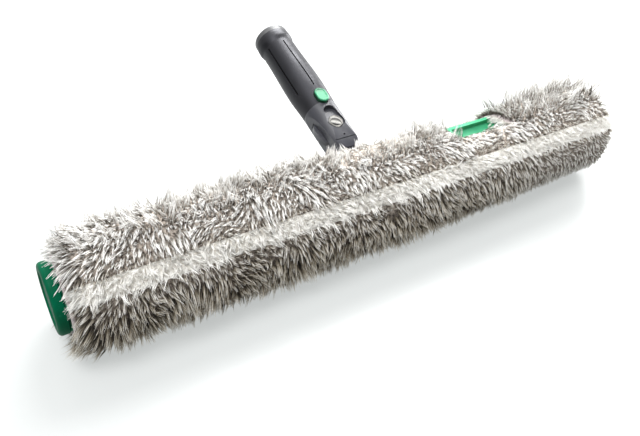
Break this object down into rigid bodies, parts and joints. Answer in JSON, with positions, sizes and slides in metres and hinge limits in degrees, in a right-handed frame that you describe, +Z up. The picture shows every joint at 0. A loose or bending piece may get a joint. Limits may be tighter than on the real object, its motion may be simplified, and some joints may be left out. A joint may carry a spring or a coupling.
{
  "type": "window scrubber",
  "caption": "T-bar window scrubber: a long fur sleeve on a moulded bar with round end plates, and a swivelling handle with a push button and a pole socket.",
  "frame": {"origin": "centre of the bounding box in plan, on the floor", "axes": "+X along the bar, +Y towards the handle, +Z up from the floor that the sleeve lies on"},
  "size_m": [0.456, 0.1984, 0.1102],
  "materials": {
    "bar_green": "satin",
    "cap_green": "satin",
    "head_grey": "fine grain",
    "grip_black": "soft satin",
    "ring_grey": "satin",
    "button_green": "satin",
    "bolt_chrome": "polished",
    "steel": "zinc plated",
    "washer_white": "smooth",
    "fur": "long pile, grey-brown with cream tips",
    "fur_pale": "long pile, off-white",
    "cloth": "woven backing"
  },
  "bodies": {
    "base": {"bar": "bar_green", "end_cap_left": "cap_green", "end_cap_right": "cap_green", "yoke": "head_grey", "yoke_screw_left": "steel", "yoke_screw_right": "steel", "backing": "cloth", "pile_body": "fur", "pile_stripe": "fur_pale", "hem_left": "cloth", "hem_right": "cloth", "loop_strip": "cloth", "hook_strip": "cloth", "slit_hem": "cloth"},
    "handle": {"handle_core": "head_grey", "grip": "grip_black", "end_ring": "ring_grey", "pivot_bolt": "bolt_chrome", "pivot_nut": "steel", "washer_upper": "washer_white", "washer_lower": "washer_white", "button_spring": "steel"},
    "button": {"lock_button": "button_green"}
  },
  "joints": [
    {"name": "handle_swivel", "type": "hinge", "parent": "base", "child": "handle", "pos_m": [0, -0.00409, 0.05783], "axis": [0, -0.3746, 0.9272], "range_deg": [-90, 90]},
    {"name": "lock_button_press", "type": "slide", "parent": "handle", "child": "button", "axis": [0, 0.3746, -0.9272], "range_m": [0, 0.0018], "stiffness_N_per_m": 1200, "springref_m": -0.0012, "deforming": ["button_spring"]}
  ]
}
